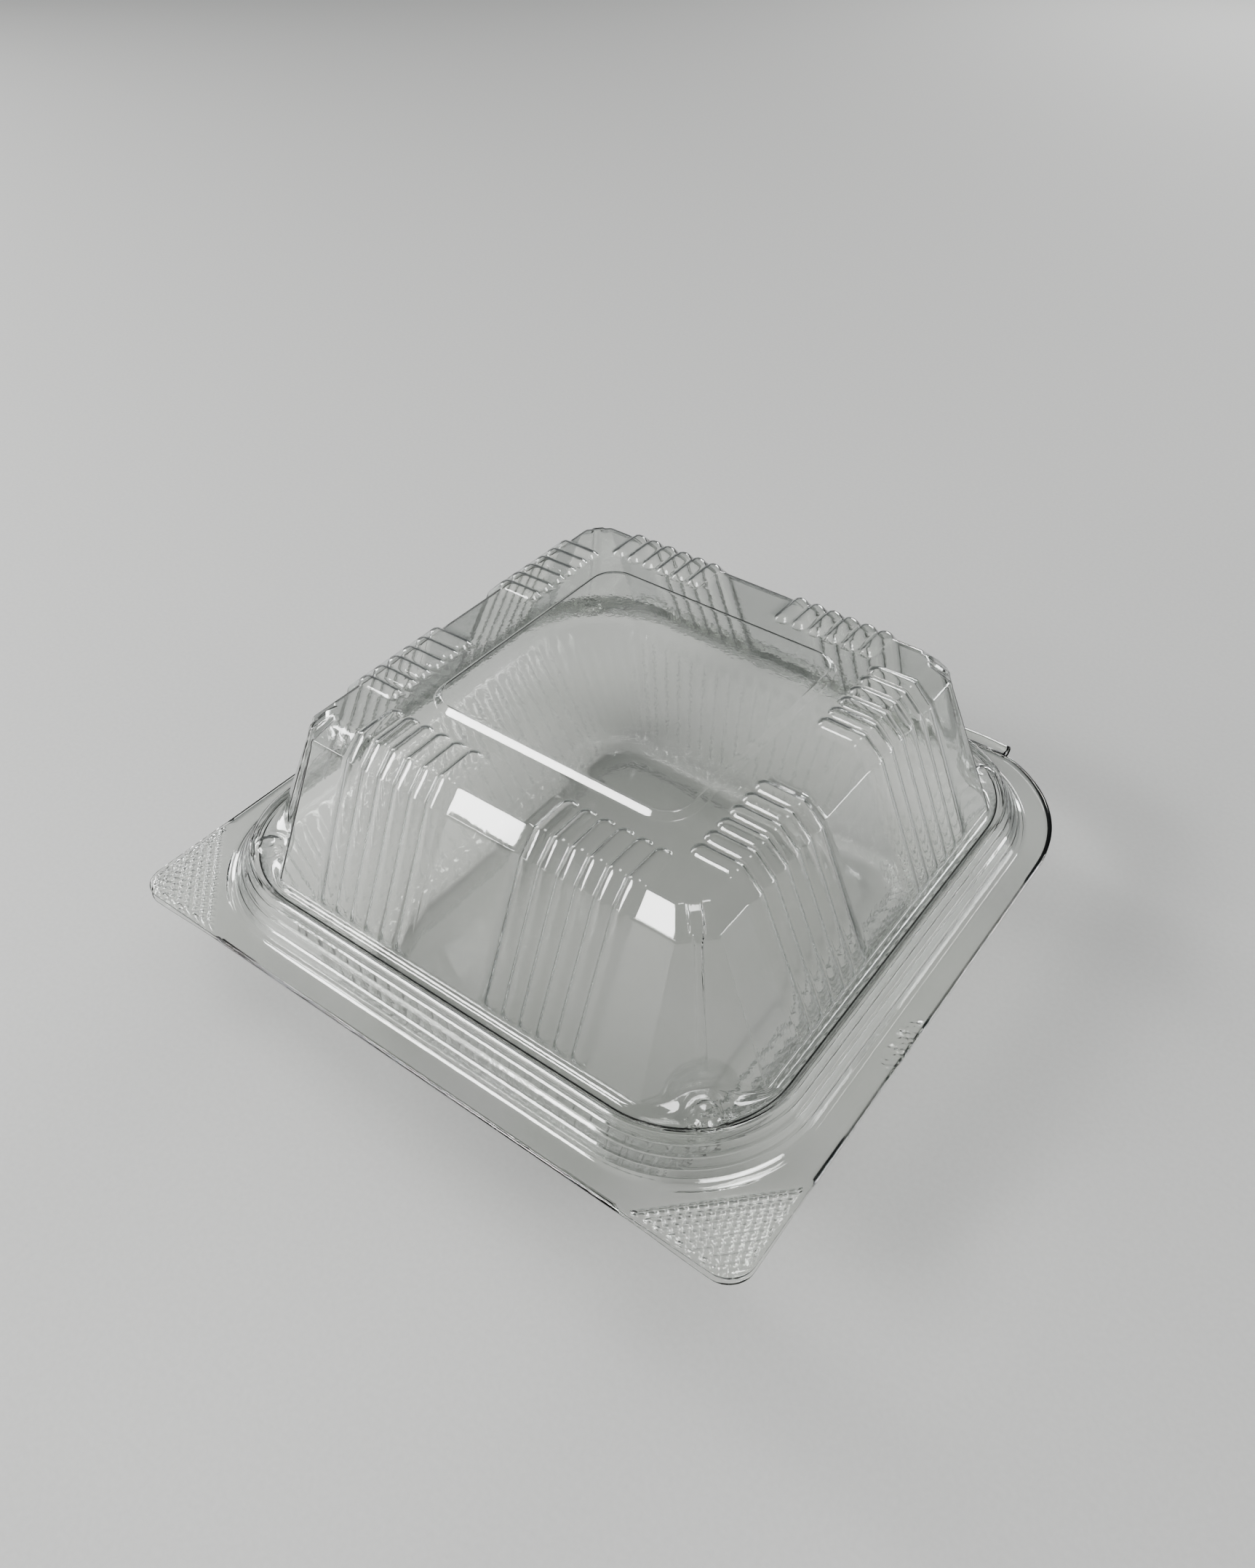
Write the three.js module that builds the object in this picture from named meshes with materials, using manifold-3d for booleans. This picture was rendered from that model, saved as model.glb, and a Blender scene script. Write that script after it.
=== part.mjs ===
// Hinged clear clamshell box: square fluted tray, wrap-around snap rim, ribbed
// domed lid, knurled pull tabs on the two front corners and a folded strip
// hinge along the back. Millimetres, +Z up, origin under the middle of the tray.
// X runs along the front edge, +Y points to the hinge.
import * as THREE from "three";
import { mergeVertices } from "three/addons/utils/BufferGeometryUtils.js";
import Module from "manifold-3d";

const wasm = await Module();
wasm.setup();

// ---------------------------------------------------------------- dimensions
const SHEET = 0.6; // sheet thickness of the solids
const GAP = 0.3; // clearance between neighbouring zones

// flange (the flat outer edge of tray and lid)
const FLANGE_HALF = 75; // half of the 150 mm square
const FLANGE_Z_LID = 30.6; // top of the lid flange
const FLANGE_Z_TRAY = 29.7; // top of the tray flange
const TAB_LEG = 24.5; // legs of the knurled corner triangles
const TAB_CORNER_R = 5.2; // rounding of the tab tips
const BACK_CORNER_R = 30; // rounding of the two hinge-side corners
const BACK_EDGE = 73.2; // where the flange stops and the hinge strip starts

// rim: corner arcs are concentric about (RIM_CENTRE, RIM_CENTRE)
const RIM_CENTRE = 40;
const LID_RIM = [
  // [half width, z] of the upper face, outside to inside
  [70.9, 30.6],
  [70.2, 31.3],
  [69.3, 31.5],
  [67.3, 34.9],
  [66.9, 35.2],
  [65.2, 38.3],
  [64.5, 38.7],
  [62.6, 38.4],
];
const TRAY_RIM = [
  [70.3, 29.7],
  [69.4, 30.2],
  [68.6, 30.5],
  [66.3, 34.3],
  [65.9, 34.6],
  [64.3, 37.2],
  [63.9, 37.4],
  [62.9, 37.4],
];
const TRAY_INNER_TOP = [62.7, 33.2]; // foot of the smooth inner wall of the tray rim

// lid dome
const FOOT_HALF = 61.3, FOOT_Z = 38.9, FOOT_CUT = 16.6; // square with cut corners
const KNEE_HALF = 48.0, KNEE_Z = 68.3, KNEE_CUT = 4.4; // lower edge of the top chamfer
const TOP_HALF = 44.0, TOP_Z = 72.4, TOP_CUT = 3.9; // upper edge of the top chamfer
const RIB_TIP_HALF = 34.9; // ribs end here on the top face
const RIB_PITCH = 4.06;
const RIBS_PER_GROUP = 6;
const GROUP_CENTRE = 21.43; // two groups per side, at plus and minus this
const RIB_WIDTH = 3.2;
const RIB_HEIGHT = 1.0;
const RIB_START_Z = 39.9; // the ribs run out here, just above the foot
const PANEL_FOOT_HALF = 30.6, PANEL_TOP_HALF = 29.2, PANEL_R = 6.8, PANEL_RISE = 1.4;

// tray well
const WELL_TOP_HALF = 62.3, WELL_TOP_R = 22.0, WELL_TOP_Z = 32.6;
const FLUTE_TOP_Z = 31.2;
const WELL_HEEL_HALF_X = 46.4, WELL_HEEL_HALF_Y = 54.8, WELL_HEEL_R = 13, WELL_HEEL_Z = 4.2;
const FLOOR_HALF_X = 43.2, FLOOR_HALF_Y = 51.6, FLOOR_R = 11, FLOOR_Z = 0.6;
const FLUTE_DEPTH = 0.7;
const FLUTES_PER_SIDE = 20;
const FLUTES_PER_CORNER = 9;

// snap buttons on the rim, one in each corner
const BUTTON_AT = 55.7; // x and y of each button
const BUTTON_R_FOOT = 2.7, BUTTON_R_TOP = 2.2, BUTTON_RISE = 1.2;

// knurling
const KNURL_PITCH = 1.6, KNURL_HEIGHT = 0.35;

// hinge strip
const HINGE_HALF_LENGTH = 54.4;
const HINGE_AXIS_Y = 76.2, HINGE_AXIS_Z = 29.85; // the lid turns about this line
// Each leaf is a flat strip that ends in an arc about the axis. The lid's arc is
// the smaller, so that it turns inside the tray's.
const TRAY_LEAF = { z: 29.4, radius: 1.5, sheet: 0.45, from: -162, to: -42 };
const LID_LEAF = { z: 30.3, radius: 0.78, sheet: 0.4, from: 144, to: -25 };

// ------------------------------------------------------------------- helpers
const CORNER_POINTS = 7;

// One corner in its own quadrant, from the side before it to the side after it,
// as [dx, dy] measured back from the square corner along each side.
function arcCorner(r, n = CORNER_POINTS) {
  const out = [];
  for (let i = 0; i < n; i++) {
    const a = (i / (n - 1)) * (Math.PI / 2);
    out.push([r - r * Math.sin(a), r - r * Math.cos(a)]);
  }
  return out;
}
function cutCorner(c, f) {
  // a 45 degree cut with legs c, its two edges eased by radius f
  const t = f * Math.tan(Math.PI / 8), s = Math.SQRT1_2;
  const ease = t * 0.29;
  return [
    [c + t, 0],
    [c + ease * 0.6, ease * 0.5],
    [c - t * s, t * s],
    [c / 2, c / 2],
    [t * s, c - t * s],
    [ease * 0.5, c + ease * 0.6],
    [0, c + t],
  ];
}

// Closed plan loop, anticlockwise from the left end of the front side.
// side(u) gives extra points along each side: [lateral position, outward bump].
function loop(hx, hy, z, corner, side = [], bump = [0, 0]) {
  const points = [];
  const frames = [
    // outward normal, direction of travel, half width, half length
    [[0, -1], [1, 0], hy, hx],
    [[1, 0], [0, 1], hx, hy],
    [[0, 1], [-1, 0], hy, hx],
    [[-1, 0], [0, -1], hx, hy],
  ];
  frames.forEach(([n, d, w, l], i) => {
    for (const [u, k] of side) {
      const out = w + k * bump[0];
      points.push([n[0] * out + d[0] * u, n[1] * out + d[1] * u, z + k * bump[1]]);
    }
    const c = Array.isArray(corner[0][0]) ? corner[i] : corner;
    for (const [a, b] of c) {
      // a is measured back along this side, b in from it
      points.push([
        n[0] * (w - b) + d[0] * (l - a),
        n[1] * (w - b) + d[1] * (l - a),
        z,
      ]);
    }
  });
  return points;
}

// A closed manifold-3d solid from a three.js geometry.
function solidFrom(geometry) {
  const bare = geometry.index ? geometry.toNonIndexed() : geometry.clone();
  bare.deleteAttribute("normal");
  bare.deleteAttribute("uv");
  const merged = mergeVertices(bare, 1e-4);
  const triVerts = [];
  const t = merged.index.array;
  for (let i = 0; i < t.length; i += 3)
    if (t[i] !== t[i + 1] && t[i + 1] !== t[i + 2] && t[i + 2] !== t[i])
      triVerts.push(t[i], t[i + 1], t[i + 2]);
  return new wasm.Manifold(
    new wasm.Mesh({
      numProp: 3,
      vertProperties: merged.getAttribute("position").array,
      triVerts: new Uint32Array(triVerts),
    }),
  );
}

// A surface lofted from loop to loop, kept as a BufferGeometry.
class Skin {
  constructor() {
    this.points = [];
  }
  tri(a, b, c) {
    this.points.push(...a, ...b, ...c);
  }
  band(lower, upper, flip = false) {
    const n = lower.length;
    for (let i = 0; i < n; i++) {
      const j = (i + 1) % n;
      if (flip) {
        this.tri(lower[i], upper[j], lower[j]);
        this.tri(lower[i], upper[i], upper[j]);
      } else {
        this.tri(lower[i], lower[j], upper[j]);
        this.tri(lower[i], upper[j], upper[i]);
      }
    }
  }
  // Flat zone between two closed loops that both run round the Z axis, or, with
  // no inner loop, a fan to the middle. Points on a straight run are all kept.
  cap(outline, hole = null, flip = false) {
    const put = (p, q, r) => (flip ? this.tri(p, r, q) : this.tri(p, q, r));
    if (!hole) {
      const c = [0, 1, 2].map((k) => outline.reduce((m, p) => m + p[k], 0) / outline.length);
      outline.forEach((p, i) => put(p, outline[(i + 1) % outline.length], c));
      return;
    }
    const turn = (l) => {
      const angles = l.map((p) => Math.atan2(p[1], p[0]));
      const first = angles.indexOf(Math.min(...angles));
      return l.map((_, i) => {
        const j = (i + first) % l.length;
        return [angles[j], l[j]];
      });
    };
    const A = turn(outline), B = turn(hole);
    const at = (l, i) => l[i % l.length][0] + (i >= l.length ? 2 * Math.PI : 0);
    let i = 0, j = 0;
    while (i < A.length || j < B.length) {
      const pa = A[i % A.length][1], pb = B[j % B.length][1];
      if (j >= B.length || (i < A.length && at(A, i + 1) <= at(B, j + 1))) {
        put(pa, A[(i + 1) % A.length][1], pb);
        i++;
      } else {
        put(pa, B[(j + 1) % B.length][1], pb);
        j++;
      }
    }
  }
  solid() {
    return solidFrom(
      new THREE.BufferGeometry().setAttribute(
        "position",
        new THREE.Float32BufferAttribute(this.points, 3),
      ),
    );
  }
}

// Lower face of a folded profile: the upper face moved SHEET along its normal.
function under(profile, t = SHEET) {
  return profile.map((p, i) => {
    const seg = (a, b) => {
      const d = [b[0] - a[0], b[1] - a[1]], l = Math.hypot(...d);
      return [d[0] / l, d[1] / l];
    };
    const before = i > 0 ? seg(profile[i - 1], p) : seg(p, profile[i + 1]);
    const after = i < profile.length - 1 ? seg(p, profile[i + 1]) : before;
    // travelling inwards (falling half width), the material lies to the left
    const n1 = [-before[1], before[0]], n2 = [-after[1], after[0]];
    const m = [n1[0] + n2[0], n1[1] + n2[1]], l2 = m[0] * m[0] + m[1] * m[1];
    const k = (2 * t) / l2;
    return [p[0] + m[0] * k, p[1] + m[1] * k];
  });
}

const solids = {};

// ----------------------------------------------------------------- the rims
// Flange outline: front corners cut for the tabs, back corners round.
function flangeLoop(z) {
  const cut = cutCorner(TAB_LEG, 0.6);
  const swing = Math.asin((BACK_EDGE - (FLANGE_HALF - BACK_CORNER_R)) / BACK_CORNER_R);
  const drop = FLANGE_HALF - BACK_EDGE;
  const right = [], left = [];
  for (let i = 0; i < CORNER_POINTS; i++) {
    const a = (i / (CORNER_POINTS - 1)) * swing;
    const along = BACK_CORNER_R * (1 - Math.sin(a)), inward = BACK_CORNER_R * (1 - Math.cos(a));
    right.push([along, inward]);
    left.unshift([inward, along]);
  }
  const points = [];
  const h = FLANGE_HALF;
  for (const [a, b] of cut) points.push([h - a, -(h - b), z]);
  for (const [a, b] of right) points.push([h - b, Math.min(h - a, BACK_EDGE), z]);
  for (const [a, b] of left) points.push([-(h - a), Math.min(h - b, BACK_EDGE), z]);
  for (const [a, b] of cut) points.push([-(h - b), -(h - a), z]);
  return points;
}
const arcs = ([h, z]) => loop(h, h, z, arcCorner(h - RIM_CENTRE));

function ringSolid(upper, lower) {
  const s = new Skin();
  for (let i = 0; i + 1 < upper.length; i++) s.band(upper[i], upper[i + 1]);
  for (let i = 0; i + 1 < lower.length; i++) s.band(lower[i], lower[i + 1], true);
  s.band(lower[0], upper[0]);
  s.band(upper[upper.length - 1], lower[lower.length - 1]);
  return s.solid();
}

function button(z, grow) {
  const profile = [
    [0, z - 0.35 + grow],
    [BUTTON_R_FOOT + grow, z - 0.35 + grow],
    [BUTTON_R_FOOT + grow, z],
    [BUTTON_R_TOP + grow, z + BUTTON_RISE],
    [0, z + BUTTON_RISE],
  ].map(([r, h]) => new THREE.Vector2(r, h));
  return solidFrom(new THREE.LatheGeometry(profile, 14).rotateX(Math.PI / 2));
}
function withButtons(rim, z) {
  let out = rim;
  for (const x of [-1, 1])
    for (const y of [-1, 1]) {
      const at = [x * BUTTON_AT, y * BUTTON_AT, 0];
      out = out.add(button(z, 0).translate(at));
      out = out.subtract(button(z - SHEET, -SHEET).translate(at));
    }
  return out;
}

{
  const upper = [flangeLoop(FLANGE_Z_LID), ...LID_RIM.map(arcs)];
  const low = under([[FLANGE_HALF, FLANGE_Z_LID], ...LID_RIM]);
  // the shelf widens in the corners to meet the dome's cut corners
  const shelf = (z) => loop(FOOT_HALF + GAP, FOOT_HALF + GAP, z, cutCorner(FOOT_CUT - 0.2, 4));
  upper.push(shelf(FOOT_Z - 0.3));
  const lower = [flangeLoop(FLANGE_Z_LID - SHEET), ...low.slice(1).map(arcs), shelf(FOOT_Z - 0.3 - SHEET)];
  solids.lid_rim = withButtons(ringSolid(upper, lower), LID_RIM.at(-1)[1] + 0.15);
}
{
  const inner = [TRAY_INNER_TOP];
  const profile = [[FLANGE_HALF, FLANGE_Z_TRAY], ...TRAY_RIM, ...inner];
  const low = under(profile);
  const upper = [flangeLoop(FLANGE_Z_TRAY), ...TRAY_RIM.map(arcs), ...inner.map(arcs)];
  const lower = [flangeLoop(FLANGE_Z_TRAY - SHEET), ...low.slice(1).map(arcs)];
  solids.tray_rim = ringSolid(upper, lower);
}

// ------------------------------------------------------------------ the dome
{
  const side = [];
  for (const g of [-1, 1])
    for (let i = 0; i < RIBS_PER_GROUP; i++) {
      const u = g * GROUP_CENTRE + (i - (RIBS_PER_GROUP - 1) / 2) * RIB_PITCH;
      side.push(
        [u - RIB_WIDTH / 2, 0],
        [u - RIB_WIDTH / 4, 1],
        [u + RIB_WIDTH / 4, 1],
        [u + RIB_WIDTH / 2, 0],
      );
    }
  const wall = Math.atan2(KNEE_Z - FOOT_Z, FOOT_HALF - KNEE_HALF); // slope of the wall
  const n1 = [Math.sin(wall), Math.cos(wall)];
  const mid = [(n1[0] + Math.SQRT1_2) / 2, (n1[1] + Math.SQRT1_2) / 2];
  const h = RIB_HEIGHT;
  const low = FOOT_HALF - ((RIB_START_Z - FOOT_Z) * (FOOT_HALF - KNEE_HALF)) / (KNEE_Z - FOOT_Z);
  const face = (inset) => {
    const k = inset;
    const drop = (v, n) => v - k * n;
    return [
      loop(drop(FOOT_HALF, n1[0]), drop(FOOT_HALF, n1[0]), FOOT_Z, cutCorner(FOOT_CUT - k * 0.6, 4), side, [0, 0]),
      loop(drop(low, n1[0]), drop(low, n1[0]), RIB_START_Z, cutCorner(FOOT_CUT - 0.4 - k * 0.6, 4), side, [h, 0]),
      loop(drop(KNEE_HALF, mid[0]), drop(KNEE_HALF, mid[0]), drop(KNEE_Z, mid[1]), cutCorner(KNEE_CUT - k * 0.6, 1.2), side, [mid[0] * h, mid[1] * h]),
      loop(drop(TOP_HALF, 0.42), drop(TOP_HALF, 0.42), TOP_Z - k, cutCorner(TOP_CUT - k * 0.6, 1.2), side, [0.42 * h, h]),
      loop(RIB_TIP_HALF, RIB_TIP_HALF, TOP_Z - k, cutCorner(0.9, 0.3), side, [0, 0]),
    ];
  };
  const out = face(0), inn = face(SHEET);
  const panel = (hh, z, k) => loop(hh - k * 0.4, hh - k * 0.4, z - k, arcCorner(PANEL_R));
  const po = [panel(PANEL_FOOT_HALF, TOP_Z, 0), panel(PANEL_TOP_HALF, TOP_Z + PANEL_RISE, 0)];
  const pi = [panel(PANEL_FOOT_HALF, TOP_Z, SHEET), panel(PANEL_TOP_HALF, TOP_Z + PANEL_RISE, SHEET)];
  const s = new Skin();
  for (let i = 0; i + 1 < out.length; i++) s.band(out[i], out[i + 1]);
  s.cap(out.at(-1), po[0]);
  s.band(po[0], po[1]);
  s.cap(po[1]);
  for (let i = 0; i + 1 < inn.length; i++) s.band(inn[i], inn[i + 1], true);
  s.cap(inn.at(-1), pi[0], true);
  s.band(pi[0], pi[1], true);
  s.cap(pi[1], null, true);
  s.band(inn[0], out[0]);
  solids.lid_dome = s.solid();
}

// ------------------------------------------------------------------ the well
{
  // Flutes run down the wall and crowd together round the corners.
  function fluted(hx, hy, r, z, depth) {
    const pts = [];
    const frames = [
      [[0, -1], [1, 0], hy, hx],
      [[1, 0], [0, 1], hx, hy],
      [[0, 1], [-1, 0], hy, hx],
      [[-1, 0], [0, -1], hx, hy],
    ];
    for (const [n, d, w, l] of frames) {
      const straight = l - r, steps = FLUTES_PER_SIDE * 2;
      for (let i = 0; i < steps; i++) {
        const u = -straight + ((i + 0.5) / steps) * 2 * straight;
        const o = w + (i % 2 ? 0 : -depth);
        pts.push([n[0] * o + d[0] * u, n[1] * o + d[1] * u, z]);
      }
      const arc = FLUTES_PER_CORNER * 2;
      for (let i = 0; i < arc; i++) {
        const a = ((i + 0.5) / arc) * (Math.PI / 2);
        const rr = r + (i % 2 ? 0 : -depth);
        const cu = l - r, cw = w - r;
        const along = cu + rr * Math.sin(a), outw = cw + rr * Math.cos(a);
        pts.push([n[0] * outw + d[0] * along, n[1] * outw + d[1] * along, z]);
      }
    }
    return pts;
  }
  const T = SHEET;
  const outer = [
    fluted(WELL_TOP_HALF, WELL_TOP_HALF, WELL_TOP_R, WELL_TOP_Z, 0),
    fluted(WELL_TOP_HALF - 0.6, WELL_TOP_HALF - 0.4, WELL_TOP_R - 0.5, FLUTE_TOP_Z, FLUTE_DEPTH),
    fluted(WELL_HEEL_HALF_X, WELL_HEEL_HALF_Y, WELL_HEEL_R, WELL_HEEL_Z, FLUTE_DEPTH),
    fluted(FLOOR_HALF_X, FLOOR_HALF_Y, FLOOR_R, 0, 0),
  ];
  const inner = [
    fluted(WELL_TOP_HALF - T, WELL_TOP_HALF - T, WELL_TOP_R - T, WELL_TOP_Z, 0),
    fluted(WELL_TOP_HALF - 0.6 - T, WELL_TOP_HALF - 0.4 - T, WELL_TOP_R - 0.5 - T, FLUTE_TOP_Z, FLUTE_DEPTH),
    fluted(WELL_HEEL_HALF_X - T * 0.85, WELL_HEEL_HALF_Y - T * 0.85, WELL_HEEL_R - T, WELL_HEEL_Z + T * 0.4, FLUTE_DEPTH),
    fluted(FLOOR_HALF_X - T * 0.4, FLOOR_HALF_Y - T * 0.4, FLOOR_R - 0.3, FLOOR_Z, 0),
  ];
  const s = new Skin();
  for (let i = 0; i + 1 < outer.length; i++) s.band(outer[i], outer[i + 1], true);
  for (let i = 0; i + 1 < inner.length; i++) s.band(inner[i], inner[i + 1]);
  s.cap(outer[3], null, true);
  s.cap(inner[3]);
  s.band(outer[0], inner[0]);
  solids.tray_well = s.solid();
}

// ------------------------------------------------------------------ the tabs
function tab(side, zTop) {
  // Ridges run parallel to the diagonal fold; their section repeats towards the tip.
  const reach = TAB_LEG * Math.SQRT1_2; // fold to sharp tip
  const first = GAP;
  const top = [[first, 0], [first + 0.9, 0]];
  for (let d = first + 1.0; d + KNURL_PITCH < reach; d += KNURL_PITCH) {
    top.push([d + 0.25, 0], [d + 0.55, KNURL_HEIGHT], [d + KNURL_PITCH - 0.45, KNURL_HEIGHT], [d + KNURL_PITCH - 0.15, 0]);
  }
  top.push([reach + 1, 0]);
  const section = new THREE.Shape();
  const bottom = top.map(([d, h]) => [d, h - SHEET]).reverse();
  [...top, ...bottom].forEach(([d, h], i) => (i ? section.lineTo(d, h) : section.moveTo(d, h)));
  const len = 40;
  const bar = new THREE.ExtrudeGeometry(section, { depth: len, bevelEnabled: false });
  // section x -> outwards across the corner, section y -> up, extrusion -> along the fold
  const c = FLANGE_HALF - TAB_LEG / 2;
  const out = new THREE.Vector3(side, -1, 0).normalize();
  const up = new THREE.Vector3(0, 0, 1);
  const along = new THREE.Vector3().crossVectors(out, up);
  const m = new THREE.Matrix4().makeBasis(out, up, along);
  m.setPosition(side * c - (along.x * len) / 2, -c - (along.y * len) / 2, zTop);
  bar.applyMatrix4(m);
  // outline of the flange square with a rounded tip
  const h = FLANGE_HALF, r = TAB_CORNER_R;
  const outline = new THREE.Shape();
  outline.moveTo(0, 0);
  if (side > 0) {
    outline.lineTo(0, -h);
    outline.lineTo(h - r, -h);
    outline.absarc(h - r, -(h - r), r, -Math.PI / 2, 0, false);
    outline.lineTo(h, 0);
  } else {
    outline.lineTo(-h, 0);
    outline.lineTo(-h, -(h - r));
    outline.absarc(-(h - r), -(h - r), r, Math.PI, 1.5 * Math.PI, false);
    outline.lineTo(0, -h);
  }
  const block = new THREE.ExtrudeGeometry(outline, { depth: 10, bevelEnabled: false, curveSegments: 8 });
  block.translate(0, 0, zTop - 5);
  return solidFrom(bar).intersect(solidFrom(block));
}
solids.lid_tab_right = tab(1, FLANGE_Z_LID);
solids.lid_tab_left = tab(-1, FLANGE_Z_LID);
solids.tray_tab_right = tab(1, FLANGE_Z_TRAY - 0.4);
solids.tray_tab_left = tab(-1, FLANGE_Z_TRAY - 0.4);

// ----------------------------------------------------------------- the hinge
function leaf({ z, radius, sheet, from, to }) {
  const mid = [[BACK_EDGE + GAP, z]];
  const steps = Math.ceil(Math.abs(to - from) / 20);
  for (let i = 0; i <= steps; i++) {
    const a = THREE.MathUtils.degToRad(from + ((to - from) * i) / steps);
    mid.push([HINGE_AXIS_Y + radius * Math.cos(a), HINGE_AXIS_Z + radius * Math.sin(a)]);
  }
  const one = [], two = [];
  mid.forEach(([y, h], i) => {
    const a = mid[Math.max(0, i - 1)], b = mid[Math.min(mid.length - 1, i + 1)];
    const d = [b[0] - a[0], b[1] - a[1]], l = Math.hypot(...d);
    one.push([y - (d[1] / l) * (sheet / 2), h + (d[0] / l) * (sheet / 2)]);
    two.unshift([y + (d[1] / l) * (sheet / 2), h - (d[0] / l) * (sheet / 2)]);
  });
  const section = new THREE.Shape([...one, ...two].map(([y, h]) => new THREE.Vector2(y, h)));
  const g = new THREE.ExtrudeGeometry(section, { depth: 2 * HINGE_HALF_LENGTH, bevelEnabled: false });
  // section x -> Y, section y -> Z, extrusion -> X
  g.applyMatrix4(
    new THREE.Matrix4()
      .makeBasis(new THREE.Vector3(0, 1, 0), new THREE.Vector3(0, 0, 1), new THREE.Vector3(1, 0, 0))
      .setPosition(-HINGE_HALF_LENGTH, 0, 0),
  );
  return solidFrom(g);
}
solids.hinge_lid_leaf = leaf(LID_LEAF);
solids.hinge_tray_leaf = leaf(TRAY_LEAF);

// ---------------------------------------------------------------- the group
const root = new THREE.Group();
root.name = "hinged_clamshell_box";
for (const [name, solid] of Object.entries(solids)) {
  const m = solid.getMesh();
  const stride = m.numProp, v = new Float32Array(m.numVert * 3);
  for (let i = 0; i < m.numVert; i++)
    for (let k = 0; k < 3; k++) v[3 * i + k] = m.vertProperties[i * stride + k];
  const g = new THREE.BufferGeometry()
    .setAttribute("position", new THREE.BufferAttribute(v, 3))
    .setIndex(new THREE.BufferAttribute(new Uint32Array(m.triVerts), 1));
  g.computeVertexNormals();
  const mesh = new THREE.Mesh(
    g,
    new THREE.MeshStandardMaterial({
      color: 0xf2f5f6,
      roughness: 0.08,
      metalness: 0,
      transparent: true,
      opacity: 0.3,
      flatShading: true,
    }),
  );
  mesh.name = name;
  root.add(mesh);
}

export default root;
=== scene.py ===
import math

import bpy
import numpy as np
from mathutils import Matrix, Vector


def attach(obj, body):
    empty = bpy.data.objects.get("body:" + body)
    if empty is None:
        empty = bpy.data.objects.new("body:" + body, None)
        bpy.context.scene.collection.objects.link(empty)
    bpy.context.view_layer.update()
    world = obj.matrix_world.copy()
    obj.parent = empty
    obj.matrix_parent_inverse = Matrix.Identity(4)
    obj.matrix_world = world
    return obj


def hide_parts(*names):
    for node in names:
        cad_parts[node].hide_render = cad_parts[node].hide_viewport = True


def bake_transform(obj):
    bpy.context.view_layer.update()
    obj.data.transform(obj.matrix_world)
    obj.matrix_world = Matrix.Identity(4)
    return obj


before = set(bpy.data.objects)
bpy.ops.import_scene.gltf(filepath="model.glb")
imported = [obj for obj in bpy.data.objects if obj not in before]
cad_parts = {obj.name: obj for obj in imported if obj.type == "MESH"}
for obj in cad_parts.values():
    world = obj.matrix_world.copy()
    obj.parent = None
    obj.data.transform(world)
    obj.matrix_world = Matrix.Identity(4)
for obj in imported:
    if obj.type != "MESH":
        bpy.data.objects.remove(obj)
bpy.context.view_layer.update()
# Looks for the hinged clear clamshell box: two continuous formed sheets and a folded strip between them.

MM = 0.001
SHEET = 0.36            # thickness of the sheet
LID_Z = 30.6            # top of the lid flange
TRAY_Z = 29.7           # top of the tray flange
HALF = 75.0             # flange half width
BACK = 73.2             # the fold starts here
TAB = 24.5              # legs of the finger tabs
PITCH = 4.064           # rib pitch
GROUP = 21.43           # middle of each rib group
RIB_W, RIB_H = 3.72, 1.05
RIB_X = [g * GROUP + (i - 2.5) * PITCH for g in (-1, 1) for i in range(6)]
AXIS_Y, AXIS_Z = 76.2, 29.85


# ------------------------------------------------------------------ helpers
def smooth(x):
    x = np.clip(x, 0.0, 1.0)
    return x * x * (3 - 2 * x)


def filleted(points, radii, spans):
    """A polyline of (half, z) with its corners rounded. radii: one per inner corner.
    spans: samples on each straight run. Returns the points in order."""
    P = [np.array(p, float) for p in points]
    out = []
    cut = [(P[0], P[0])]
    arcs = [[]]
    for i in range(1, len(P) - 1):
        a, b, c = P[i - 1], P[i], P[i + 1]
        u, v = (a - b) / np.linalg.norm(a - b), (c - b) / np.linalg.norm(c - b)
        ang = math.acos(max(-1, min(1, float(u @ v))))
        turn = math.pi - ang
        r = radii[i - 1]
        d = min(r / math.tan(ang / 2), 0.45 * np.linalg.norm(a - b), 0.45 * np.linalg.norm(c - b))
        r = d * math.tan(ang / 2)
        p, q = b + u * d, b + v * d
        n = max(2, int(math.ceil(turn / math.radians(22))) + 1)
        bis = (u + v) / max(np.linalg.norm(u + v), 1e-9)
        centre = b + bis * math.hypot(d, r)
        arc = []
        for k in range(1, n):
            t = k / n
            w = p * (1 - t) ** 2 + 2 * b * t * (1 - t) + q * t * t
            e = w - centre
            arc.append(centre + e / np.linalg.norm(e) * r)
        cut.append((p, q))
        arcs.append(arc)
    cut.append((P[-1], P[-1]))
    arcs.append([])
    for i in range(len(P) - 1):
        s, e = cut[i][1], cut[i + 1][0]
        n = spans[i]
        for k in range(n):
            out.append(s + (e - s) * k / n)
        out.append(e)
        out.extend(arcs[i + 1])
    clean = [out[0]]
    for p in out[1:]:
        if np.linalg.norm(p - clean[-1]) > 1e-4:
            clean.append(p)
    return np.array(clean)


def rib_field(lateral, inward):
    """Height share of the ribs at a lateral position, for points `inward` mm past the tip centre
    (0 where the rib runs on)."""
    total = np.zeros_like(lateral)
    for x in RIB_X:
        d = np.sqrt((lateral - x) ** 2 + (inward * 0.92) ** 2) / (RIB_W / 2)
        total = np.maximum(total, np.where(d < 1, 1 - np.clip(d, 0, 1) ** 2.5, 0))
    return total


FRAMES = [  # outward normal, direction of travel
    (np.array([0.0, -1.0]), np.array([1.0, 0.0])),
    (np.array([1.0, 0.0]), np.array([0.0, 1.0])),
    (np.array([0.0, 1.0]), np.array([-1.0, 0.0])),
    (np.array([-1.0, 0.0]), np.array([0.0, -1.0])),
]


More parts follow.
